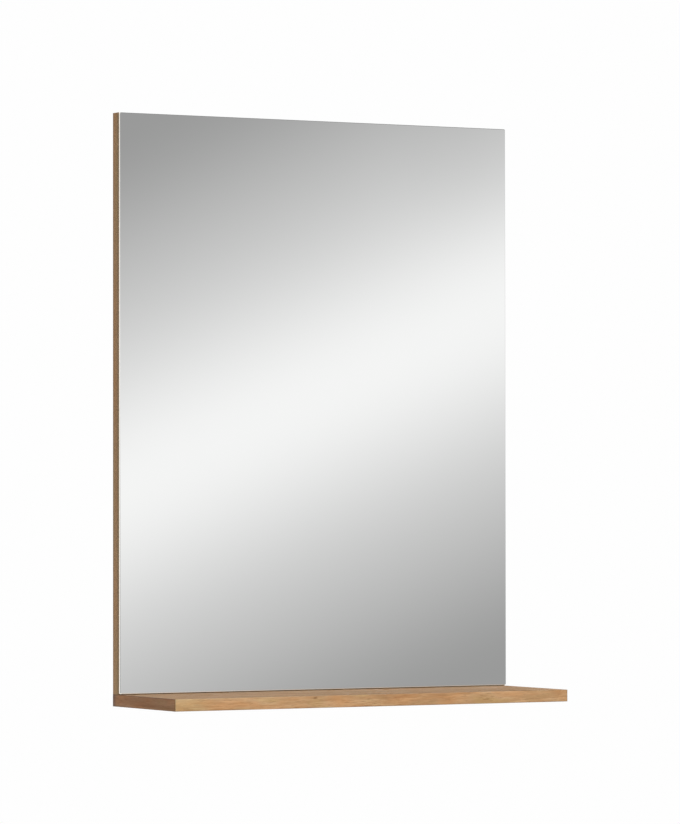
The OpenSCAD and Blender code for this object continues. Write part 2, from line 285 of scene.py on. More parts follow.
def foam_strip(name, low, high):
    """A strip of foam tape: a flat oval section carried along its length.

    With u round the section, x = middle + half the width * sign(cos u) * |cos u|^0.12 and
    y = middle + half the thickness * sign(sin u) * |sin u|^0.35, for rows along z from one end to the other.
    """
    around, along = 40, 60
    low, high = np.asarray(low), np.asarray(high)
    centre, half = (low + high) / 2, (high - low) / 2
    u = np.linspace(0, 2 * math.pi, around, endpoint=False)[None, :]
    z = np.linspace(low[2], high[2], along)[:, None]
    x = centre[0] + half[0] * np.sign(np.cos(u)) * np.abs(np.cos(u)) ** 0.12 + 0 * z
    y = centre[1] + half[1] * np.sign(np.sin(u)) * np.abs(np.sin(u)) ** 0.35 + 0 * z
    return make_object(name, np.stack([x, y, z + 0 * u], -1), capped_faces(along, around))


def graded_card_mesh(radius, low, high):
    """The studio's graded card: part of a cylinder round the mirror, (R sin a, -R cos a, z) for a and z on a grid."""
    a = np.radians(np.linspace(-88, 88, 89))[None, :]
    z = np.linspace(low, high, 5)[:, None]
    points = np.stack([radius * np.sin(a) + 0 * z, -radius * np.cos(a) + 0 * z, z + 0 * a], -1)
    return make_object("graded_card", points, grid_quads(*points.shape[:2], wrap=False).tolist())


def floor_mesh(level, reach):
    """The floor: a disc, (r cos u, r sin u, level) for r and u on a polar grid."""
    rings, spokes, innermost = 24, 96, 0.05
    u = np.linspace(0, 2 * math.pi, spokes, endpoint=False)[None, :]
    r = np.linspace(innermost, reach, rings)[:, None]
    points = np.stack([r * np.cos(u), r * np.sin(u), np.full((rings, spokes), level)], -1)
    quads = grid_quads(rings, spokes, wrap=True)[:, ::-1].tolist()
    return make_object("floor", points, [*quads, list(range(spokes))])


# ---- Node trees ----


class Pen:
    """Adds nodes to one tree, feeds each from numbers or from other nodes' outputs, and sets them out in columns."""

    COLUMN_STEP = 220
    ROW_STEP = -260
    SHADER_PLACE = (2600, 0)
    OUTPUT_PLACE = (2900, 0)

    def __init__(self, tree):
        self.tree = tree
        self.columns = {}
        self.filled = {}

    def add(self, kind, feeds=None, **settings):
        """One node. A feed is a socket's name or number with a number, a colour or an output to link."""
        node = self.tree.nodes.new(kind)
        for name, value in settings.items():
            setattr(node, name, value)
        column = 0
        for key, source in (feeds or {}).items():
            socket = node.inputs[key]
            if isinstance(source, bpy.types.NodeSocket):
                self.tree.links.new(source, socket)
                column = max(column, self.columns[source.node.name] + 1)
            else:
                socket.default_value = rgba(source) if socket.type == "RGBA" else source
        self.columns[node.name] = column
        row = self.filled.get(column, 0)
        self.filled[column] = row + 1
        node.location = (self.COLUMN_STEP * column, self.ROW_STEP * row)
        return node

    def objects(self):
        """Object coordinates, which are places in the shared frame because every piece sits at the origin."""
        return self.add("ShaderNodeTexCoord").outputs["Object"]

    def placed(self, vector, scale=(1, 1, 1), turn=(0, 0, 0), shift=(0, 0, 0)):
        """A vector scaled, then turned, then shifted."""
        feeds = {"Vector": vector, "Location": shift, "Rotation": turn, "Scale": scale}
        return self.add("ShaderNodeMapping", feeds).outputs["Vector"]

    def noise(self, vector, scale=1.0, detail=2.0, roughness=0.5, distortion=0.0):
        """Fractal noise from 0 to 1."""
        feeds = {"Vector": vector, "Scale": scale, "Detail": detail, "Roughness": roughness, "Distortion": distortion}
        return self.add("ShaderNodeTexNoise", feeds).outputs[0]

    def math(self, operation, a, b=0.0):
        """The result of one operation on one or two numbers."""
        return self.add("ShaderNodeMath", {0: a, 1: b}, operation=operation).outputs[0]

    def span(self, value, low, high, to_low=0.0, to_high=1.0, smooth=False):
        """A value's place between low and high, held to the new range."""
        feeds = {"Value": value, "From Min": low, "From Max": high, "To Min": to_low, "To Max": to_high}
        way = "SMOOTHSTEP" if smooth else "LINEAR"
        return self.add("ShaderNodeMapRange", feeds, interpolation_type=way).outputs["Result"]

    def blend(self, factor, a, b, mode="MIX"):
        """Colour a with colour b over it."""
        return self.add("ShaderNodeMix", {0: factor, 6: a, 7: b}, data_type="RGBA", blend_type=mode).outputs[2]

    def mix(self, factor, a, b):
        """A number between the numbers a and b."""
        return self.add("ShaderNodeMix", {0: factor, 2: a, 3: b}).outputs[0]

    def dimmed(self, tint, value):
        """A colour times a value."""
        grey = self.add("ShaderNodeCombineColor", {0: value, 1: value, 2: value}).outputs[0]
        return self.blend(1.0, tint, grey, "MULTIPLY")

    def axes(self, vector):
        """The X, Y and Z of a vector."""
        return self.add("ShaderNodeSeparateXYZ", {"Vector": vector}).outputs

    def length(self, vector):
        """The length of a vector."""
        return self.add("ShaderNodeVectorMath", {0: vector}, operation="LENGTH").outputs["Value"]

    def group(self, tree, **feeds):
        """An effect's node group, with its named inputs fed."""
        return self.add("ShaderNodeGroup", feeds, node_tree=tree).outputs

    def bump(self, height, strength, distance, normal=None):
        """A normal raised by a height."""
        feeds = {"Strength": strength, "Distance": distance, "Height": height}
        if normal is not None:
            feeds["Normal"] = normal
        return self.add("ShaderNodeBump", feeds).outputs["Normal"]


def toned(shade, *factors):
    """A colour times one factor, or times one for each channel."""
    return tuple(min(1.0, c * f) for c, f in zip(tuple(shade)[:3], factors if len(factors) == 3 else factors * 3))


def rgba(value):
    """A colour with an alpha of 1."""
    return (*tuple(value)[:3], 1.0)


def effect(name, inputs, outputs, draw):
    """A shader node group, built once: draw(pen, inputs) gives the values of its outputs by name."""
    if name in bpy.data.node_groups:
        return bpy.data.node_groups[name]
    tree = bpy.data.node_groups.new(name, "ShaderNodeTree")
    kinds = {"value": "NodeSocketFloat", "vector": "NodeSocketVector", "colour": "NodeSocketColor"}
    for way, sockets in (("INPUT", inputs), ("OUTPUT", outputs)):
        for socket, kind in sockets.items():
            tree.interface.new_socket(name=socket, in_out=way, socket_type=kinds[kind])
    pen = Pen(tree)
    given = pen.add("NodeGroupInput").outputs
    pen.add("NodeGroupOutput", draw(pen, given))
    return tree


def oak_decor():
    """Oak decor with its grain along X: broad bands, streaks, growth rings, fibres and short dark pores.

    Each layer is a noise on coordinates stretched along the grain. The rings are distances from an axis that leans
    by a degree or two from the grain, so that flat faces show long arches. Some parts are redder and some yellower.
    """

    def draw(pen, given):
        place = given["Vector"]

        def layer(along, across, shift, **kind):
            """Noise with so many features to the metre along and across the grain."""
            return pen.noise(pen.placed(place, scale=(along, across, across), shift=shift), **kind)

        broad = layer(8, 48, (0, 0, 0), detail=3, distortion=0.35)
        streak = layer(26, 330, (3, 1, 7), detail=3, roughness=0.6, distortion=0.4)
        fibre = layer(60, 1600, (9, 5, 2), roughness=0.6)
        lean = (0.1, math.radians(2.2), math.radians(1.4))
        leaning = pen.placed(place, scale=(0.55, 1, 1), turn=lean, shift=(0.0, 0.043, 0.071))
        wander = {"Distortion": 3.2, "Detail": 3.0, "Detail Scale": 0.32, "Detail Roughness": 0.55}
        rings = pen.add(
            "ShaderNodeTexWave",
            {"Vector": leaning, "Scale": 26.0, **wander},
            wave_type="RINGS",
            rings_direction="X",
            wave_profile="SAW",
        ).outputs["Fac"]
        tone = pen.math("MULTIPLY", pen.span(broad, 0.30, 0.70), 0.38)
        tone = pen.math("ADD", tone, pen.math("MULTIPLY", pen.span(streak, 0.28, 0.72), 0.40))
        tone = pen.math("ADD", tone, pen.math("MULTIPLY", rings, 0.22))
        ground = pen.blend(pen.span(tone, 0.18, 0.52), given["Light"], given["Middle"])
        ground = pen.blend(pen.span(tone, 0.50, 0.86), ground, given["Dark"])
        shade = pen.span(fibre, 0.25, 0.75, 1.07, 0.90)
        fibred = pen.dimmed(ground, shade)
        specks = layer(75, 2300, (4, 8, 6), detail=1)
        open_rings = pen.span(rings, 0.0, 0.9, 0.035, 0.0)
        pores = pen.span(pen.math("ADD", specks, open_rings), 0.640, 0.715, smooth=True)
        patch = layer(18, 90, (2, 6, 3))
        redder = pen.blend(pen.span(patch, 0.44, 0.66), fibred, (1.05, 0.94, 0.84), "MULTIPLY")
        yellower = pen.blend(pen.span(patch, 0.46, 0.28), redder, (0.985, 1.03, 0.93), "MULTIPLY")
        coloured = pen.blend(pen.math("MULTIPLY", pores, 0.62), yellower, given["Pore"])
        height = pen.math("SUBTRACT", pen.math("MULTIPLY", fibre, 0.30), pores)
        rough = pen.math("ADD", pen.span(fibre, 0.2, 0.8, 0.57, 0.65), pen.math("MULTIPLY", pores, 0.22))
        return {"Color": coloured, "Roughness": rough, "Height": height}

    return effect(
        "oak_decor",
        {"Vector": "vector", "Light": "colour", "Middle": "colour", "Dark": "colour", "Pore": "colour"},
        {"Color": "colour", "Roughness": "value", "Height": "value"},
        draw,
    )


def chipboard_core():
    """Raw chipboard: flat chips of many tones that lie in the board's plane, with small dark gaps between them.

    The chips are the cells of two Voronoi patterns on ragged coordinates squeezed across the board: long ones in the
    middle layer and fine ones near the faces. Depth is the distance under the nearer face, and Bare is 1 on the
    chipboard and 0 on the decor.
    """

    def draw(pen, given):
        place = given["Vector"]
        bare = pen.span(given["Depth"], *DECOR_ENDS)
        core = pen.span(given["Depth"], *CORE_BEGINS)
        ragged = pen.add("ShaderNodeTexNoise", {"Vector": place, "Scale": 520.0, "Detail": 3.0}).outputs[1]
        push = pen.placed(ragged, scale=(0.0016, 0.0016, 0.0007))
        moved = pen.add("ShaderNodeVectorMath", {0: place, 1: push}, operation="ADD").outputs[0]
        fine, coarse = (950, 950, 2600), (310, 310, 1350)
        tones = []
        for channel, scale in enumerate((fine, coarse)):
            cells = pen.add("ShaderNodeTexVoronoi", {"Vector": pen.placed(moved, scale=scale), "Scale": 1.0})
            tones.append(pen.add("ShaderNodeSeparateColor", {0: cells.outputs["Color"]}).outputs[channel])
        layered = pen.mix(core, *tones)
        grains = pen.noise(pen.placed(place, scale=(1, 1, 2.2)), scale=1500, detail=3, roughness=0.65)
        tone = pen.math("ADD", pen.math("MULTIPLY", layered, 0.55), pen.math("MULTIPLY", grains, 0.75))
        chip = pen.blend(pen.span(tone, 0.30, 1.05), given["Light"], given["Dark"])
        holes = pen.noise(pen.placed(place, scale=(420, 420, 1500), shift=(5, 2, 8)))
        gap = pen.math("MULTIPLY", pen.span(holes, 0.64, 0.72, smooth=True), pen.span(core, 0, 1, 0.35, 1.0))
        dark = pen.blend(pen.math("MULTIPLY", gap, 0.7), chip, given["Gap"])
        height = pen.math("SUBTRACT", pen.math("MULTIPLY", tone, 0.6), gap)
        return {"Color": dark, "Height": pen.math("MULTIPLY", height, bare), "Bare": bare}

    return effect(
        "chipboard_core",
        {"Vector": "vector", "Depth": "value", "Light": "colour", "Dark": "colour", "Gap": "colour"},
        {"Color": "colour", "Height": "value", "Bare": "value"},
        draw,
    )


def edge_line():
    """A soft line along an edge: a colour takes a tint where a coordinate is near the edge's.

    The tint is full over 0.3 of the line's width, and fades out at its width.
    """

    def draw(pen, given):
        away = pen.math("ABSOLUTE", pen.math("SUBTRACT", given["Coordinate"], given["Edge"]))
        full = pen.math("MULTIPLY", given["Width"], 0.3)
        line = pen.span(away, full, given["Width"], 1.0, 0.0, smooth=True)
        return {"Color": pen.blend(line, given["Color"], given["Tint"], "MULTIPLY")}

    return effect(
        "edge_line",
        {"Color": "colour", "Tint": "colour", "Coordinate": "value", "Edge": "value", "Width": "value"},
        {"Color": "colour"},
        draw,
    )


def handling_marks():
    """Faint marks from handling: a mask of soft smudges and one of a few hair-fine scratches."""

    def draw(pen, given):
        cloudy = pen.noise(given["Vector"], scale=9, detail=4, roughness=0.6, distortion=0.6)
        smudge = pen.span(cloudy, 0.48, 0.78, smooth=True)
        crossing = [
            pen.noise(pen.placed(given["Vector"], scale=scale, turn=(0.3, turn, 0.2)), detail=1)
            for scale, turn in (((30, 1500, 1500), 0.6), ((1300, 1300, 26), 0.3))
        ]
        scratch = pen.span(pen.math("MAXIMUM", *crossing), 0.735, 0.80, smooth=True)
        return {"Smudge": smudge, "Scratch": scratch}

    return effect("handling_marks", {"Vector": "vector"}, {"Smudge": "value", "Scratch": "value"}, draw)


def fresh_pen(owner):
    """A pen for the emptied node tree of a material or world."""
    owner.use_nodes = True
    owner.node_tree.nodes.clear()
    return Pen(owner.node_tree)


def start_material(name, **constants):
    """A material with its Principled shader, whose constants are set on its own sockets: (material, pen, shader)."""
    material = bpy.data.materials.new(name)
    pen = fresh_pen(material)
    shader = pen.add("ShaderNodeBsdfPrincipled")
    for socket, value in constants.items():
        shader.inputs[socket.replace("_", " ")].default_value = value
    shader.location = pen.SHADER_PLACE
    pen.add("ShaderNodeOutputMaterial", {"Surface": shader.outputs[0]}).location = pen.OUTPUT_PLACE
    return material, pen, shader


def feed(pen, shader, **outputs):
    """Links outputs to the shader's inputs of the same names."""
    for socket, output in outputs.items():
        pen.tree.links.new(output, shader.inputs[socket.replace("_", " ")])


def put_on(name, *materials):
    """Puts a finish on a CAD node, in all its slots, or on a piece, one slot each."""
    piece = frame["nodes"].get(name) or bpy.data.objects[name]
    if len(materials) == 1 and len(piece.material_slots):
        for slot in piece.material_slots:
            slot.material = materials[0]
        return
    for material in materials:
        piece.data.materials.append(material)


# ---- Finishes ----


def oak_colours(pen, look, grain, shift, tone=(1, 1, 1), squeeze=1.0, calm=0.0):
    """The oak decor's outputs for a board or band.

    grain turns the pattern, shift picks a part of it, tone tints it, squeeze shortens its streaks and calm takes its
    colours towards the main tone.
    """
    vector = pen.placed(pen.placed(pen.objects(), turn=grain, shift=shift), scale=(squeeze, 1, 1))
    shades = {}
    for name in ("light", "middle", "dark", "pore"):
        nearer = [c + calm * (m - c) for c, m in zip(getattr(look, name), look.middle)]
        shades[name.capitalize()] = toned(nearer, *tone)
    return pen.group(oak_decor(), Vector=vector, **shades)


def edged(pen, tint, rims):
    """A colour with edge lines, each given as (axis, place, tint, width)."""
    for axis, edge, shade, width in rims:
        coordinate = pen.axes(pen.objects())[axis]
        line = pen.group(edge_line(), Color=tint, Tint=shade, Coordinate=coordinate, Edge=edge, Width=width)
        tint = line["Color"]
    return tint


def board_finish(name, look, grain, shift, thick, low, high, rims=()):
    """A faced board: oak decor on its two faces, and bare chipboard on its sides and in its holes.

    thick is the axis across the board, and low and high are its two faces along it. The decor shows as a fine line
    along every bare edge. The rims are edged's.
    """
    material, pen, shader = start_material(name, Specular_IOR_Level=OAK_SPECULAR)
    place = pen.objects()
    oak = oak_colours(pen, look, grain, shift, squeeze=0.45)
    flat = (math.radians(90), 0, 0) if thick == "Y" else (0, 0, 0)
    across = pen.axes(place)[thick]
    depth = pen.math("MINIMUM", pen.math("SUBTRACT", across, low), pen.math("SUBTRACT", high, across))
    shades = {"Light": look.chip_light, "Dark": look.chip_dark, "Gap": look.chip_gap}
    chips = pen.group(chipboard_core(), Vector=pen.placed(place, turn=flat), Depth=depth, **shades)
    feed(
        pen,
        shader,
        Base_Color=pen.blend(chips["Bare"], edged(pen, oak["Color"], rims), chips["Color"]),
        Roughness=pen.math("MAXIMUM", oak["Roughness"], pen.math("MULTIPLY", chips["Bare"], 0.9)),
        Normal=pen.bump(chips["Height"], 0.55, 0.0004, pen.bump(oak["Height"], 0.22, PORE_DEPTH)),
    )
    return material


def band_finish(name, look, grain, shift, tone=(1, 1, 1), squeeze=1.0, calm=0.0, relief=0.22, rims=(), knots=()):
    """An oak-decor edge band of its own tone.

    The rims are edged's, and each knot is a small dark spot, given as (x, y, z, radius) and longer along X.
    """
    material, pen, shader = start_material(name, Specular_IOR_Level=OAK_SPECULAR)
    oak = oak_colours(pen, look, grain, shift, tone, squeeze, calm)
    tint = edged(pen, oak["Color"], rims)
    for x, y, z, radius in knots:
        along, across = 0.45 / radius, 1 / radius
        centred = {"scale": (along, across, across), "shift": (-along * x, -across * y, -across * z)}
        away = pen.length(pen.placed(pen.objects(), **centred))
        ragged = pen.math("ADD", away, pen.math("MULTIPLY", pen.noise(pen.objects(), scale=900), 0.6))
        tint = pen.blend(pen.span(ragged, 0.7, 1.6, 0.75, 0.0, smooth=True), tint, look.pore)
    feed(pen, shader, Base_Color=tint, Roughness=oak["Roughness"], Normal=pen.bump(oak["Height"], relief, PORE_DEPTH))
    return material


def silvered_face(look):
    """The mirror's face with its polished arris: a bright metal with barely visible smudges.

    Within a millimetre of its right and top borders the reflection is a little dimmer, a painted shade for the ground
    edge that shows through the glass. Just above the shelf it is a little warmer, a painted reflection of the oak.
    """
    material, pen, shader = start_material("mirror_face", Metallic=1.0)
    place = pen.objects()
    marks = pen.group(handling_marks(), Vector=place)
    hazed = pen.blend(pen.math("MULTIPLY", marks["Smudge"], 0.05), look.silver, (0.86, 0.88, 0.88))
    (_, _, bottom), (right, _, top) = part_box("mirror_glass")
    x, _, z = pen.axes(place)
    outer, inner, dim = 0.0005, 0.0010, 0.87
    # Painted shade along the right and top borders, and a painted warm reflection of the oak above the shelf
    border_shades = [pen.span(at, edge - inner, edge - outer, 1.0, dim) for at, edge in ((x, right), (z, top))]
    dimmed = pen.dimmed(hazed, pen.math("MULTIPLY", *border_shades))
    height = pen.math("SUBTRACT", z, bottom)
    tinted = pen.blend(pen.span(height, *WARM_FOOT), dimmed, (1.0, 0.955, 0.90))
    feed(pen, shader, Base_Color=tinted, Roughness=pen.span(marks["Smudge"], 0, 1, 0.004, 0.018))
    return material


def ground_edge(look):
    """Ground and polished glass edge: pale, faintly green, with fine grinding lines along the edge.

    Light that the plate carries makes it glow a little, most at the left edge and just above the shelf, but not in
    the joint below, which is darkened with painted shade.
    """
    material, pen, shader = start_material("mirror_edge", Coat_Weight=0.35, Coat_Roughness=0.12, Emission_Strength=1.0)
    place = pen.objects()
    lines = pen.noise(pen.placed(place, scale=(60, 5200, 60)), roughness=0.6)
    cloud = pen.noise(place, scale=160, detail=3)
    (left, front, bottom), (_, back, _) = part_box("mirror_glass")
    x, y, z = pen.axes(place)
    height = pen.math("SUBTRACT", z, bottom)
    greener = pen.blend(pen.span(y, front, back, 0.0, 0.35), look.edge, (0.52, 0.62, 0.54))
    mottled = pen.blend(pen.span(cloud, 0.35, 0.75, 0.0, 0.22), greener, (0.62, 0.64, 0.58))
    rough = pen.span(lines, 0.3, 0.7, 0.28, 0.44)
    aside = pen.math("SUBTRACT", x, left)
    far = pen.math("MINIMUM", pen.span(aside, *GLOW_SIDEWAYS), pen.span(height, *GLOW_UPWARDS))
    glow = pen.blend(pen.span(cloud, 0.3, 0.7), look.edge_glow, toned(look.edge_glow, 0.8))
    glow = pen.blend(far, glow, toned(look.edge_glow, 0.414, 0.461, 0.425))
    glow = pen.blend(pen.span(height, *OAK_LIGHT, 1.0, 0.0), glow, (0.96, 0.73, 0.50))
    # Painted shade in the joint with the shelf: a dark base colour and no glow
    joint = pen.span(height, *JOINT_SHADE, 1.0, 0.0)
    joint_shaded = pen.blend(joint, mottled, (0.12, 0.095, 0.075))
    shaded = pen.blend(joint, glow, (0, 0, 0))
    ground = pen.bump(lines, 0.25, 0.00005)
    feed(pen, shader, Base_Color=joint_shaded, Roughness=rough, Emission_Color=shaded, Normal=ground)
    return material


def backing_paint(look):
    """Rolled protective paint behind the silver, with an orange-peel skin and thin places."""
    material, pen, shader = start_material("backing_paint", Specular_IOR_Level=0.4)
    place = pen.objects()
    peel = pen.noise(place, scale=650)
    thin = pen.span(pen.noise(place, scale=14, detail=4), 0.35, 0.75)
    paler = toned(look.backing, 1.35)
    feed(
        pen,
        shader,
        Base_Color=pen.blend(thin, look.backing, paler),
        Roughness=pen.span(peel, 0.3, 0.7, 0.42, 0.58),
        Normal=pen.bump(peel, 0.3, 0.00008),
    )
    return material


def foam_finish(look):
    """Closed-cell foam: small round cells in a pale body."""
    material, pen, shader = start_material("white_foam", Specular_IOR_Level=0.3)
    place = pen.objects()
    cells = pen.add("ShaderNodeTexVoronoi", {"Vector": place, "Scale": 3200.0}).outputs["Distance"]
    shade = pen.noise(place, scale=120, detail=3)
    darker = toned(look.tape, 0.72)
    walls = pen.math("MULTIPLY", pen.span(cells, 0.0, 0.6), pen.span(shade, 0.3, 0.7, 0.4, 1.0))
    feed(
        pen,
        shader,
        Base_Color=pen.blend(walls, darker, look.tape),
        Roughness=pen.span(cells, 0.0, 0.7, 0.95, 0.75),
        Normal=pen.bump(cells, 0.6, 0.0002),
    )
    return material


def plated_steel(look):
    """Bright zinc plating on pressed steel: rolling lines, bluish and yellowish clouds, and handling scratches."""
    material, pen, shader = start_material("plated_steel", Metallic=1.0)
    place = pen.objects()
    marks = pen.group(handling_marks(), Vector=place)
    rolled = pen.noise(pen.placed(place, scale=(900, 900, 60)), detail=3, roughness=0.6)
    cloud = pen.noise(place, scale=85, detail=3, distortion=0.5)
    warm = pen.blend(pen.span(cloud, 0.42, 0.72, 0.0, 0.55), look.steel, (0.70, 0.64, 0.50))
    cool = pen.blend(pen.span(cloud, 0.50, 0.25, 0.0, 0.50), warm, (0.52, 0.58, 0.70))
    worn = pen.blend(pen.math("MULTIPLY", marks["Scratch"], 0.22), cool, (0.76, 0.77, 0.78))
    rough = pen.math("ADD", pen.span(rolled, 0.25, 0.75, 0.24, 0.40), pen.math("MULTIPLY", marks["Smudge"], 0.10))
    height = pen.math("SUBTRACT", pen.math("MULTIPLY", rolled, 0.4), pen.math("MULTIPLY", marks["Scratch"], 0.35))
    feed(pen, shader, Base_Color=worn, Roughness=rough, Normal=pen.bump(height, 0.25, 0.00006))
    return material


def cast_zinc(look):
    """Bare zinc die casting: dull grey, with a mottled skin and fine pits."""
    material, pen, shader = start_material("cast_zinc", Metallic=1.0)
    place = pen.objects()
    marks = pen.group(handling_marks(), Vector=place)
    mottle = pen.noise(place, scale=420, detail=4, roughness=0.6)
    pits = pen.span(pen.noise(place, scale=1700, detail=1), 0.66, 0.76, smooth=True)
    darker = toned(look.zinc, 0.62)
    tone = pen.blend(pen.span(mottle, 0.3, 0.75), look.zinc, darker)
    rough = pen.math("ADD", pen.span(mottle, 0.3, 0.7, 0.38, 0.56), pen.math("MULTIPLY", marks["Scratch"], 0.1))
    height = pen.math("SUBTRACT", pen.math("MULTIPLY", mottle, 0.5), pits)
    feed(pen, shader, Base_Color=tone, Roughness=rough, Normal=pen.bump(height, 0.4, 0.0001))
    return material


def pressed_felt(look):
    """Pressed felt: a matted tangle of fibres in several greys, soft at its edge."""
    sheen = {"Sheen_Weight": 0.45, "Sheen_Roughness": 0.5}
    material, pen, shader = start_material("pressed_felt", Specular_IOR_Level=0.15, **sheen)
    place = pen.objects()
    tangle = [
        pen.noise(pen.placed(place, scale=scale), detail=3, roughness=0.65, distortion=2.5)
        for scale in ((900, 2200, 2600), (2400, 2200, 800))
    ]
    fibres = pen.math("MAXIMUM", *tangle)
    paler = toned(look.felt, 2.3)
    feed(
        pen,
        shader,
        Base_Color=pen.blend(pen.span(fibres, 0.45, 0.80), look.felt, paler),
        Roughness=pen.span(fibres, 0.4, 0.8, 0.98, 0.85),
        Normal=pen.bump(fibres, 0.9, 0.0003),
    )
    return material


def raw_beech(look):
    """Raw beech with its grain along Z: short brown flecks in an even pinkish body."""
    material, pen, shader = start_material("raw_beech", Specular_IOR_Level=0.3)
    place = pen.objects()
    flecks = pen.span(pen.noise(pen.placed(place, scale=(1500, 1500, 210)), detail=1), 0.60, 0.70, smooth=True)
    broad = pen.noise(pen.placed(place, scale=(300, 300, 30)), detail=3)
    darker = toned(look.beech, 0.72)
    body = pen.blend(pen.span(broad, 0.3, 0.7), look.beech, darker)
    feed(
        pen,
        shader,
        Base_Color=pen.blend(pen.math("MULTIPLY", flecks, 0.6), body, (0.30, 0.15, 0.07)),
        Roughness=pen.span(broad, 0.3, 0.7, 0.62, 0.74),
        Normal=pen.bump(broad, 0.3, 0.0001),
    )
    return material


# ---- Operators ----


def take_place_of(piece, node):
    """A finished piece rides on the body and replaces its CAD node, which is hidden."""
    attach(piece, BODY)
    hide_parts(node)


class WALLMIRROR_OT_glass(Operator):
    """Build the mirror plate with its ground edges, and finish the silvering behind it"""

    bl_idname = "wallmirror.glass"
    bl_label = "Mirror glass"

    def execute(self, context):
        look = context.scene.wallmirror_glass
        plate = mirror_plate(*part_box("mirror_glass"), look.arris, look.corner_radius)
        put_on(plate.name, silvered_face(look), ground_edge(look), backing_paint(look))
        take_place_of(plate, "mirror_glass")
        put_on("mirror_silvering", plate.data.materials[2])
        return {"FINISHED"}


class WALLMIRROR_OT_tape(Operator):
    """Build the four strips of foam tape between the glass and the panel"""

    bl_idname = "wallmirror.tape"
    bl_label = "Foam tape"

    def execute(self, context):
        foam = foam_finish(context.scene.wallmirror_glass)
        for node in TAPES:
            strip = foam_strip(node.replace("mirror_tape", "foam_tape"), *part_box(node))
            put_on(strip.name, foam)
            take_place_of(strip, node)
        return {"FINISHED"}


class WALLMIRROR_OT_panel(Operator):
    """Finish the panel and its three edge bands, with the grain upright"""

    bl_idname = "wallmirror.panel"
    bl_label = "Panel"

    def execute(self, context):
        look = context.scene.wallmirror_oak
        low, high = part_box("panel_board")
        board = board_finish("oak_panel", look, ALONG_Z, (0.3, 0.0, 0.02), thick="Y", low=low[1], high=high[1])
        put_on("panel_board", board)
        front_shade = ("Y", low[1], (0.75, 0.79, 0.83), 0.0042)
        rear_shade = ("Y", high[1], (0.70, 0.73, 0.78), 0.0026)
        upright = band_finish(
            "oak_band_upright",
            look,
            ALONG_Z,
            shift=(1.1, 0.31, 0.13),
            tone=(0.99, 1.03, 1.12),
            squeeze=0.25,
            calm=0.6,
            relief=0.07,
            rims=[front_shade, rear_shade],
        )
        put_on("panel_band_left", upright)
        put_on("panel_band_right", upright)
        put_on("panel_band_top", band_finish("oak_band_top", look, ALONG_X, shift=(0.7, 0.21, 0.09)))
        return {"FINISHED"}


class WALLMIRROR_OT_shelf(Operator):
    """Finish the shelf and its three edge bands, and keep the shelf out of reflections as the photograph does"""

    bl_idname = "wallmirror.shelf"
    bl_label = "Shelf"

    def execute(self, context):
        look = context.scene.wallmirror_oak
        low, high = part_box("shelf_board")
        # Painted sheen: the shelf grows paler and bluer towards its right end, as a grazing reflection of the white
        # backdrop
        painted_sheen_end = ("X", high[0], (1.21, 1.25, 1.37), 0.110)
        board = board_finish(
            "oak_shelf", look, ALONG_X, (2.3, 0.17, 0.05), thick="Z", low=low[2], high=high[2], rims=[painted_sheen_end]
        )
        put_on("shelf_board", board)
        (left, front, under), (right, _, top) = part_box("shelf_band_front")
        # Painted shade along the front band's lower and end edges, and a painted highlight along its top edge
        under_edge_shade = ("Z", under, EDGE_SHADE_TINT, RIM_WIDTH)
        end_edge_shades = [("X", edge, EDGE_SHADE_TINT, RIM_WIDTH) for edge in (left, right)]
        yellower_end = ("X", left, (1.0, 1.095, 1.07), 0.065)
        knot = (-0.092, front, -0.7067, 0.0016)
        streaked = band_finish(
            "oak_band_front",
            look,
            ALONG_X,
            shift=(2.1, 0.4, 0.5),
            tone=(0.969, 0.982, 1.016),
            squeeze=1.3,
            calm=0.04,
            rims=[under_edge_shade, ("Z", top, EDGE_HIGHLIGHT_TINT, RIM_WIDTH), *end_edge_shades, yellower_end],
            knots=[knot],
        )
        put_on("shelf_band_front", streaked)
        browner_front = ("Y", low[1], (0.93, 0.87, 0.74), 0.0040)
        # Painted shade: the left end band darkens and cools towards the wall
        painted_shade_rear = ("Y", high[1], (0.61, 0.68, 0.86), 0.011)
        # Painted shade along the lower and top edges of both end bands
        for side, own in (("left", [painted_shade_rear]), ("right", [])):
            end = band_finish(
                "oak_band_end_" + side,
                look,
                ALONG_Y,
                shift=(1.9, 0.08, 0.27),
                tone=(0.89, 0.83, 0.93),
                rims=[under_edge_shade, ("Z", top, EDGE_SHADE_TINT, RIM_WIDTH), browner_front, *own],
            )
            put_on("shelf_band_" + side, end)
        for node in SHELF:
            frame["nodes"][node].visible_glossy = False
        return {"FINISHED"}


class WALLMIRROR_OT_joint(Operator):
    """Finish the cams, their bolts and the dowels that hold the panel on the shelf"""

    bl_idname = "wallmirror.joint"
    bl_label = "Shelf joint"

    def execute(self, context):
        look = context.scene.wallmirror_hardware
        put_on("cams", cast_zinc(look))
        put_on("cam_bolts", plated_steel(look))
        put_on("dowels", raw_beech(look))
        return {"FINISHED"}


class WALLMIRROR_OT_wall_fixing(Operator):
    """Finish the keyhole plates and their screws, and build the felt pads"""

    bl_idname = "wallmirror.wall_fixing"
    bl_label = "Wall fixing"

    def execute(self, context):
        look = context.scene.wallmirror_hardware
        steel = bpy.data.materials.get("plated_steel") or plated_steel(look)
        for node in (*HANGERS, "hanger_screws"):
            put_on(node, steel)
        felt = pressed_felt(look)
        for node in PADS:
            pad = felt_disc(node.replace("wall_pad", "felt_pad"), *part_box(node))
            put_on(pad.name, felt)
            take_place_of(pad, node)
        return {"FINISHED"}


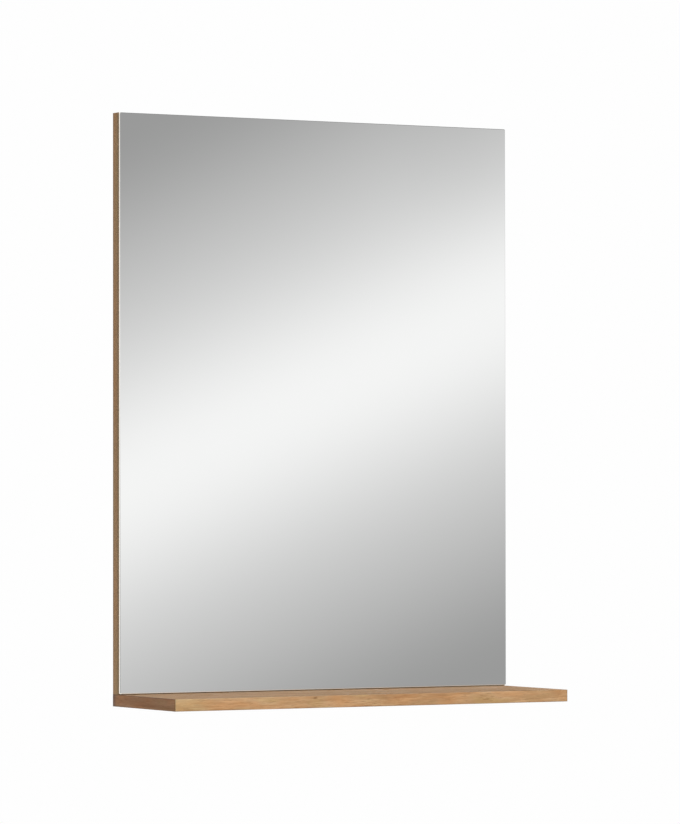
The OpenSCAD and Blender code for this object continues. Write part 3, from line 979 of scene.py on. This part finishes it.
class WALLMIRROR_OT_studio(Operator):
    """Set up the camera, the white studio, the soft lights and the graded card that the mirror shows"""

    bl_idname = "wallmirror.studio"
    bl_label = "Studio"

    def execute(self, context):
        look = context.scene.wallmirror_studio
        context.scene.view_settings.view_transform = "Standard"
        context.scene.cycles.caustics_reflective = False
        set_camera(context.scene)
        set_world(context.scene, look)
        soft_sun("key_light", look.key, towards=(0.08, -0.60, 0.44), spread=24)
        soft_sun("fill_light", look.fill, towards=(0.12, 0.90, 0.35), spread=40)
        lay_floor(look)
        hang_graded_card(look)
        return {"FINISHED"}


def set_camera(scene):
    """A camera at the photograph's viewing angle."""
    data = bpy.data.cameras.new("camera")
    data.lens = CAMERA_LENS_MM
    data.sensor_width = 36
    data.clip_end = 100
    camera = bpy.data.objects.new("camera", data)
    camera.location = CAMERA_PLACE
    camera.rotation_euler = [math.radians(turn) for turn in CAMERA_TURN_DEGREES]
    scene.collection.objects.link(camera)
    scene.camera = camera


def set_world(scene, look):
    """White where the camera looks past the object, and an even softer light for everything else."""
    world = bpy.data.worlds.new("white_studio")
    pen = fresh_pen(world)
    sky = [
        pen.add("ShaderNodeBackground", {"Color": (1, 1, 1, 1), "Strength": level}).outputs[0]
        for level in (look.ambient, look.backdrop)
    ]
    seen = pen.add("ShaderNodeLightPath").outputs["Is Camera Ray"]
    mixed = pen.add("ShaderNodeMixShader", {0: seen, 1: sky[0], 2: sky[1]}).outputs[0]
    pen.add("ShaderNodeOutputWorld", {"Surface": mixed})
    scene.world = world


def soft_sun(name, strength, towards, spread):
    """An even light from one side, soft by its wide disc. towards points from the object to the light."""
    data = bpy.data.lights.new(name, "SUN")
    data.energy = strength
    data.angle = math.radians(spread)
    lamp = bpy.data.objects.new(name, data)
    x, y, z = towards
    lamp.rotation_euler = (math.acos(z / math.dist((0, 0, 0), towards)), 0, math.atan2(x, -y))
    lamp.location = (2 * x, 2 * y, 2 * z)
    bpy.context.scene.collection.objects.link(lamp)


def lay_floor(look):
    """A pale matt floor well below the shelf, which runs out into the white backdrop."""
    reach, fade_start, fade_end, own_light = 8.0, 1.5, 6.5, 0.30
    floor = floor_mesh(look.floor_level, reach)
    material = bpy.data.materials.new("pale_floor")
    pen = fresh_pen(material)
    place = pen.objects()
    grain = pen.noise(place, scale=60, detail=4)
    tone = pen.blend(pen.span(grain, 0.3, 0.7), (0.80, 0.80, 0.795), (0.83, 0.83, 0.825))
    near = pen.add("ShaderNodeBsdfDiffuse", {"Color": tone}).outputs[0]
    glow = pen.add("ShaderNodeEmission", {"Strength": own_light}).outputs[0]
    lit = pen.add("ShaderNodeAddShader", {0: near, 1: glow}).outputs[0]
    far = pen.add("ShaderNodeEmission", {"Strength": look.backdrop}).outputs[0]
    fade = pen.span(pen.length(pen.placed(place, scale=(1, 1, 0))), fade_start, fade_end, smooth=True)
    mixed = pen.add("ShaderNodeMixShader", {0: fade, 1: lit, 2: far}).outputs[0]
    pen.add("ShaderNodeOutputMaterial", {"Surface": mixed})
    floor.data.materials.append(material)


def hang_graded_card(look):
    """A card round the front, seen only in reflections, whose soft bands slant across the mirror.

    With z the height and a the angle round the object, t = (-0.26 - z) / 0.612 + R * (a - 29.6 degrees) / 1.312, and
    the brightness is mean + swing * (cos(pi t) + 0.07 cos(2 pi t) + 0.07 cos(3 pi t)). It falls by an eighth towards
    both sides, and by a twentieth towards the upper right. The lower end fades to the floor's white and the upper end
    to the room's even light.
    """
    middle_angle, middle_height = math.radians(29.6), -0.26
    band_width, band_height, overtone_share = 1.312, 0.612, 0.07
    card = graded_card_mesh(look.card_radius, -1.7, 1.9)
    material = bpy.data.materials.new("graded_card")
    pen = fresh_pen(material)
    x, y, z = pen.axes(pen.objects())
    angle = pen.math("ARCTAN2", x, pen.math("MULTIPLY", y, -1.0))
    aside = pen.math("SUBTRACT", angle, middle_angle)
    sideways = pen.math("MULTIPLY", aside, look.card_radius / band_width)
    upwards = pen.math("MULTIPLY", pen.math("SUBTRACT", middle_height, z), 1 / band_height)
    turn = pen.math("MULTIPLY", pen.math("ADD", upwards, sideways), math.pi)
    wave = pen.math("COSINE", turn)
    for times in (2.0, 3.0):
        overtone = pen.math("COSINE", pen.math("MULTIPLY", turn, times))
        wave = pen.math("ADD", wave, pen.math("MULTIPLY", overtone, overtone_share))
    banded = pen.math("ADD", pen.math("MULTIPLY", wave, look.card_swing), look.card_mean)
    sides = pen.span(pen.math("ABSOLUTE", aside), math.radians(20), math.radians(60), 1.0, 0.87, smooth=True)
    to_right = pen.span(angle, math.radians(32), math.radians(39.5), smooth=True)
    corner = pen.math("MULTIPLY", to_right, pen.span(z, -0.08, 0.13, smooth=True))
    level = pen.math("MULTIPLY", banded, sides)
    level = pen.math("MULTIPLY", level, pen.span(corner, 0.0, 1.0, 1.0, 0.943))
    floor_fade = (-1.48, -1.68, look.backdrop)
    room_fade = (1.20, 1.85, look.ambient)
    for start, end, beyond in (floor_fade, room_fade):
        level = pen.mix(pen.span(z, start, end, smooth=True), level, beyond)
    glow = pen.add("ShaderNodeEmission", {"Strength": level}).outputs[0]
    pen.add("ShaderNodeOutputMaterial", {"Surface": glow})
    material.cycles.emission_sampling = "NONE"
    card.data.materials.append(material)
    card.visible_camera = card.visible_diffuse = card.visible_transmission = card.visible_shadow = False


# ---- Sidebar and registration ----

OPERATORS = (
    WALLMIRROR_OT_glass,
    WALLMIRROR_OT_tape,
    WALLMIRROR_OT_panel,
    WALLMIRROR_OT_shelf,
    WALLMIRROR_OT_joint,
    WALLMIRROR_OT_wall_fixing,
    WALLMIRROR_OT_studio,
)
SETTINGS = {
    "wallmirror_glass": GlassSettings,
    "wallmirror_oak": OakSettings,
    "wallmirror_hardware": HardwareSettings,
    "wallmirror_studio": StudioSettings,
}


class WALLMIRROR_PT_sidebar(Panel):
    """Steps and settings of the wall mirror."""

    bl_idname = "WALLMIRROR_PT_sidebar"
    bl_label = "Wall Mirror"
    bl_space_type = "VIEW_3D"
    bl_region_type = "UI"
    bl_category = "Wall Mirror"

    def draw(self, context):
        for operator in OPERATORS:
            self.layout.operator(operator.bl_idname)
        for name in SETTINGS:
            box = self.layout.box()
            settings = getattr(context.scene, name)
            for key in settings.bl_rna.properties.keys():
                if key not in {"rna_type", "name"}:
                    box.prop(settings, key)


def register():
    """Registers the settings, the operators and the panel."""
    for name, group in SETTINGS.items():
        bpy.utils.register_class(group)
        setattr(bpy.types.Scene, name, PointerProperty(type=group))
    for operator in OPERATORS:
        bpy.utils.register_class(operator)
    bpy.utils.register_class(WALLMIRROR_PT_sidebar)


def unregister():
    """Takes back what register did."""
    bpy.utils.unregister_class(WALLMIRROR_PT_sidebar)
    for operator in reversed(OPERATORS):
        bpy.utils.unregister_class(operator)
    for name, group in SETTINGS.items():
        delattr(bpy.types.Scene, name)
        bpy.utils.unregister_class(group)


def main():
    """Registers the add-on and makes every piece."""
    register()
    for operator in OPERATORS:
        family, name = operator.bl_idname.split(".")
        getattr(getattr(bpy.ops, family), name)()
    bpy.context.view_layer.update()


if __name__ == "__main__":
    main()
